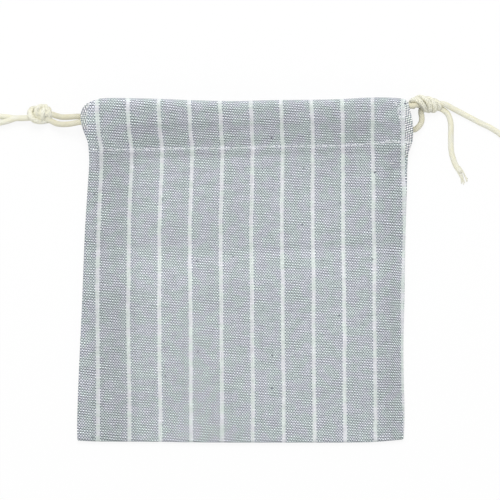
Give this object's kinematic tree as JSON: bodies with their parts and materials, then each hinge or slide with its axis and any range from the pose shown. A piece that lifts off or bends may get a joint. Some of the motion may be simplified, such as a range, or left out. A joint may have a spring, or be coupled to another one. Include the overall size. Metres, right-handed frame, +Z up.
{
  "type": "drawstring jewelry pouch",
  "caption": "Small flat drawstring pouch of thin pinstriped cotton, lying on its back, with a corded channel at the mouth and knotted cord ends at each side.",
  "frame": {"origin": "middle of the pouch cloth's footprint on the surface it lies on, the free cords left out", "axes": "+Z up from the surface, out of the pouch's front; +Y towards its mouth; +X to the right seen from the front"},
  "size_m": [0.2255, 0.1381, 0.0151],
  "materials": {
    "striped_cotton": "plain-weave chambray in pale blue-grey with fine white stripes, matt",
    "cotton_cord": "cream braided cotton cord, matt"
  },
  "bodies": {
    "root": {"pouch_cloth": "striped_cotton", "left_drawstring_in_channels": "cotton_cord", "right_drawstring_in_channels": "cotton_cord", "left_front_strand": "cotton_cord", "left_back_strand": "cotton_cord", "left_knot": "cotton_cord", "left_upper_tail": "cotton_cord", "left_lower_tail": "cotton_cord", "right_front_strand": "cotton_cord", "right_back_strand": "cotton_cord", "right_knot": "cotton_cord", "right_long_tail": "cotton_cord", "right_short_tail": "cotton_cord"}
  },
  "joints": []
}
